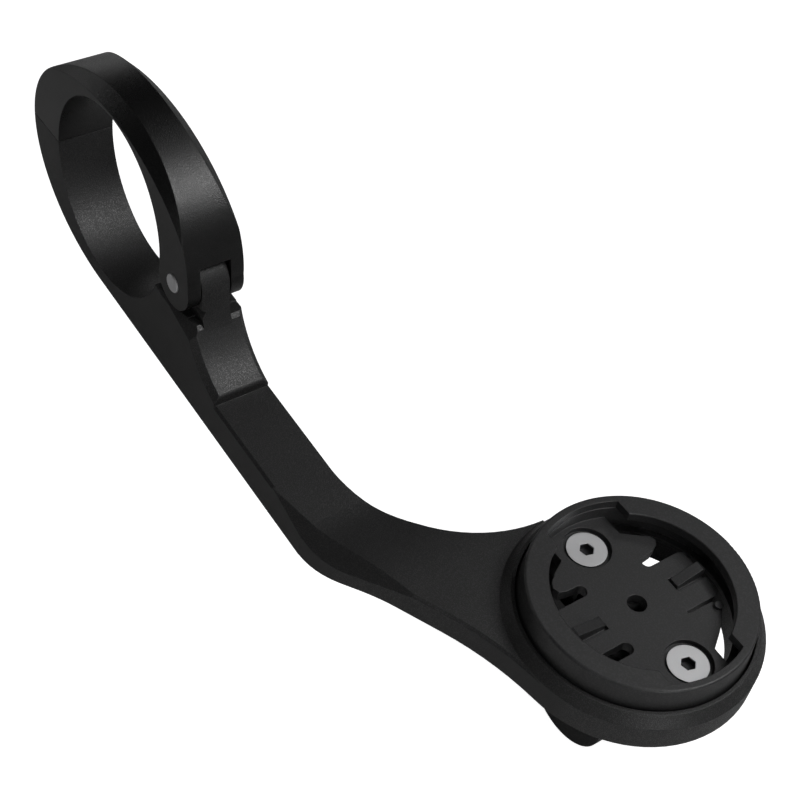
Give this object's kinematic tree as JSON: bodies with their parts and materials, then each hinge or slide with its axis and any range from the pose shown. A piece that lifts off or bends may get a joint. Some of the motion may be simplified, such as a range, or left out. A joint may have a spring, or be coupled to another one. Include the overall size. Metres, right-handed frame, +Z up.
{
  "type": "handlebar computer mount",
  "caption": "Out-front handlebar mount: hinged bar clamp, offset arm, quarter-turn socket for a cycling computer, and a fork bracket below for a light or camera.",
  "frame": {"origin": "centre of the handlebar bore, midway across the clamp's width", "axes": "+X forward from the handlebar to the computer, +Y along the handlebar to the side the disc is offset to, +Z up, square to the socket's face"},
  "size_m": [0.1365, 0.052, 0.0577],
  "materials": {
    "anodised_aluminium": "black anodised over a bead-blasted surface",
    "socket_nylon": "moulded black nylon",
    "bracket_nylon": "moulded black glass-filled nylon",
    "bright_steel": "bright stainless steel",
    "pin_steel": "ground steel pin",
    "black_steel": "black oxide steel"
  },
  "bodies": {
    "mount": {"arm": "anodised_aluminium", "hinge_pin": "pin_steel", "quarter_turn_socket": "socket_nylon", "socket_screw_rear": "bright_steel", "socket_screw_front": "bright_steel", "accessory_bracket": "bracket_nylon", "plate_nut_rear": "bright_steel", "plate_nut_front": "bright_steel", "pivot_nut": "bright_steel"},
    "cap": {"clamp_cap": "anodised_aluminium"},
    "screw": {"clamp_screw": "black_steel"}
  },
  "joints": [
    {"name": "cap_hinge", "type": "hinge", "parent": "mount", "child": "cap", "pos_m": [0.02, 0, -0.0006], "axis": [0, 1, 0], "range_deg": [0, 80]},
    {"name": "clamp_screw_travel", "type": "slide", "parent": "mount", "child": "screw", "axis": [0, 0, -1], "range_m": [0, 0.0042]}
  ]
}
